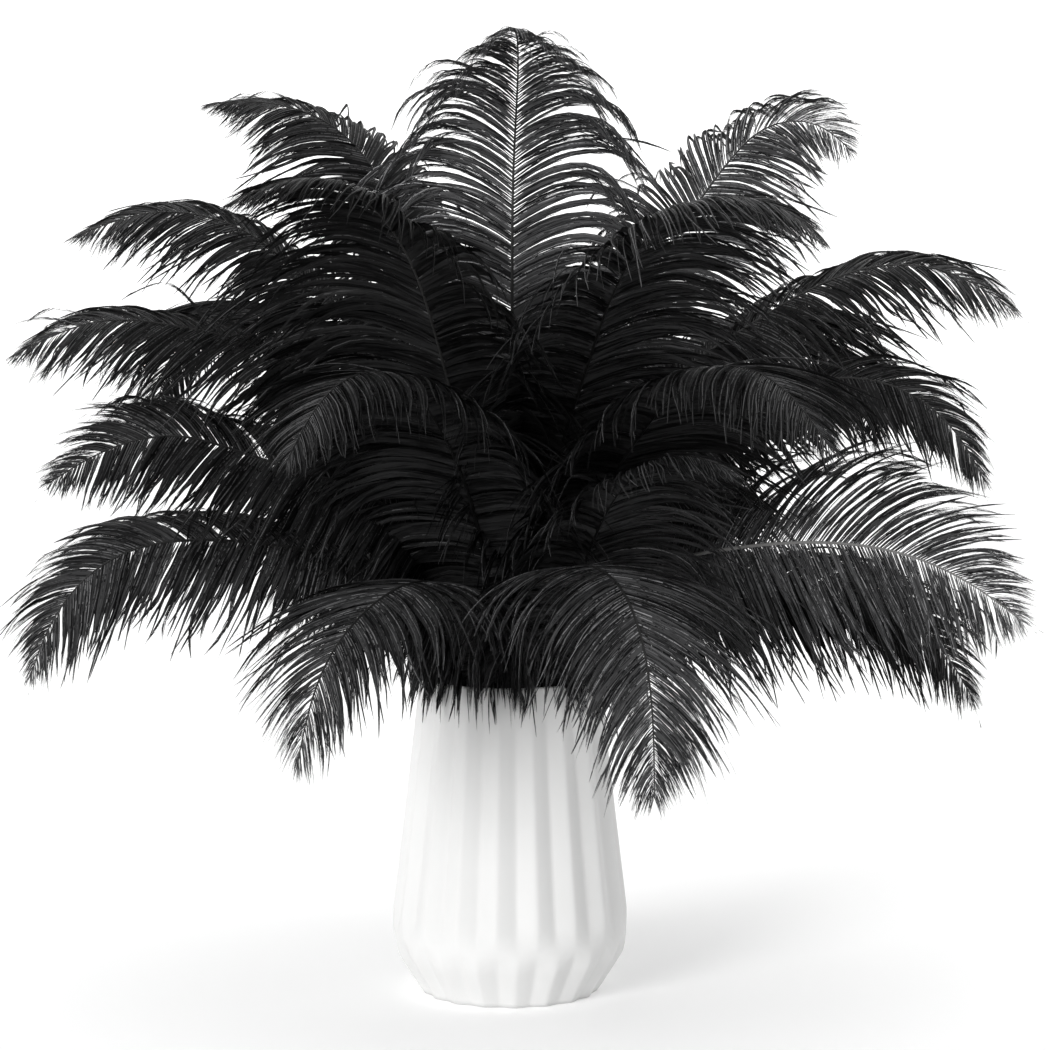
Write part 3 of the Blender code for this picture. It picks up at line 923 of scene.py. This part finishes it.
def floor_material():
    """A pale matte floor that glows a little."""
    material, nodes, links, shader = new_material("pale_floor")
    clouds = object_noise(nodes, links, *FLOOR_CLOUDS)
    links.new(ramp(nodes, links, clouds, FLOOR_TONES), shader.inputs["Base Color"])
    shader.inputs["Roughness"].default_value = FLOOR_ROUGHNESS
    shader.inputs["Specular IOR Level"].default_value = FLOOR_SPECULAR
    shader.inputs["Emission Color"].default_value = (1.0, 1.0, 1.0, 1.0)
    shader.inputs["Emission Strength"].default_value = FLOOR_GLOW
    return material


# Studio


def add_floor(material):
    """A pale floor that curves up into a wall behind."""
    outline = [(FLOOR_FRONT, 0.0)]
    for turn in np.linspace(0.0, math.pi / 2, WALL_BEND_STEPS):
        outline.append((WALL_PLACE + WALL_BEND * math.sin(turn), WALL_BEND * (1 - math.cos(turn))))
    outline.append((WALL_PLACE + WALL_BEND, WALL_HEIGHT))
    points = np.array([(x, y, z) for y, z in outline for x in (-FLOOR_SIDE, FLOOR_SIDE)])
    first = np.arange(len(outline) - 1) * 2
    one = np.stack([first, first + 1, first + 3], axis=-1)
    other = np.stack([first, first + 3, first + 2], axis=-1)
    floor = add_mesh("floor", points, np.concatenate([one, other]), material, True)


def aimed(item, place, target):
    """Puts an item at a place, looking at a target. Both are in millimetres."""
    start = Vector(place) * METRES_PER_MM
    view = Vector(target) * METRES_PER_MM - start
    item.location = start
    item.rotation_euler = view.to_track_quat("-Z", "Y").to_euler()


def add_camera():
    """The camera at the photograph's viewing angle and distance."""
    data = bpy.data.cameras.new("camera")
    data.lens = LENS
    data.sensor_fit = "VERTICAL"
    data.sensor_height = SENSOR
    data.sensor_width = SENSOR
    data.clip_end = CAMERA_REACH
    camera = bpy.data.objects.new("camera", data)
    bpy.context.scene.collection.objects.link(camera)
    distance = FRAME_HEIGHT * LENS / SENSOR
    angle = math.radians(CAMERA_HEIGHT_ANGLE)
    place = (AIM[0], AIM[1] - distance * math.cos(angle), AIM[2] + distance * math.sin(angle))
    aimed(camera, place, AIM)
    bpy.context.scene.camera = camera


def add_key_light():
    """A broad low light from the left of the camera."""
    data = bpy.data.lights.new("key", "SUN")
    data.angle = math.radians(KEY_BREADTH)
    data.energy = KEY_STRENGTH
    light = bpy.data.objects.new("key", data)
    bpy.context.scene.collection.objects.link(light)
    side, height = math.radians(KEY_SIDE_ANGLE), math.radians(KEY_HEIGHT_ANGLE)
    level = math.cos(height) * FRAME_HEIGHT
    place = (-level * math.sin(side), -level * math.cos(side), math.sin(height) * FRAME_HEIGHT)
    aimed(light, place, (0.0, 0.0, 0.0))


def add_studio():
    """A white sky and the key light."""
    world = bpy.data.worlds.new("studio")
    world.use_nodes = True
    sky = world.node_tree.nodes["Background"]
    sky.inputs["Color"].default_value = (1.0, 1.0, 1.0, 1.0)
    sky.inputs["Strength"].default_value = WORLD_STRENGTH
    bpy.context.scene.world = world
    add_key_light()
    bpy.context.scene.view_settings.view_transform = "Standard"


def main():
    add_feathers()
    add_vase(ceramic_material())
    add_floor(floor_material())
    add_camera()
    add_studio()


main()
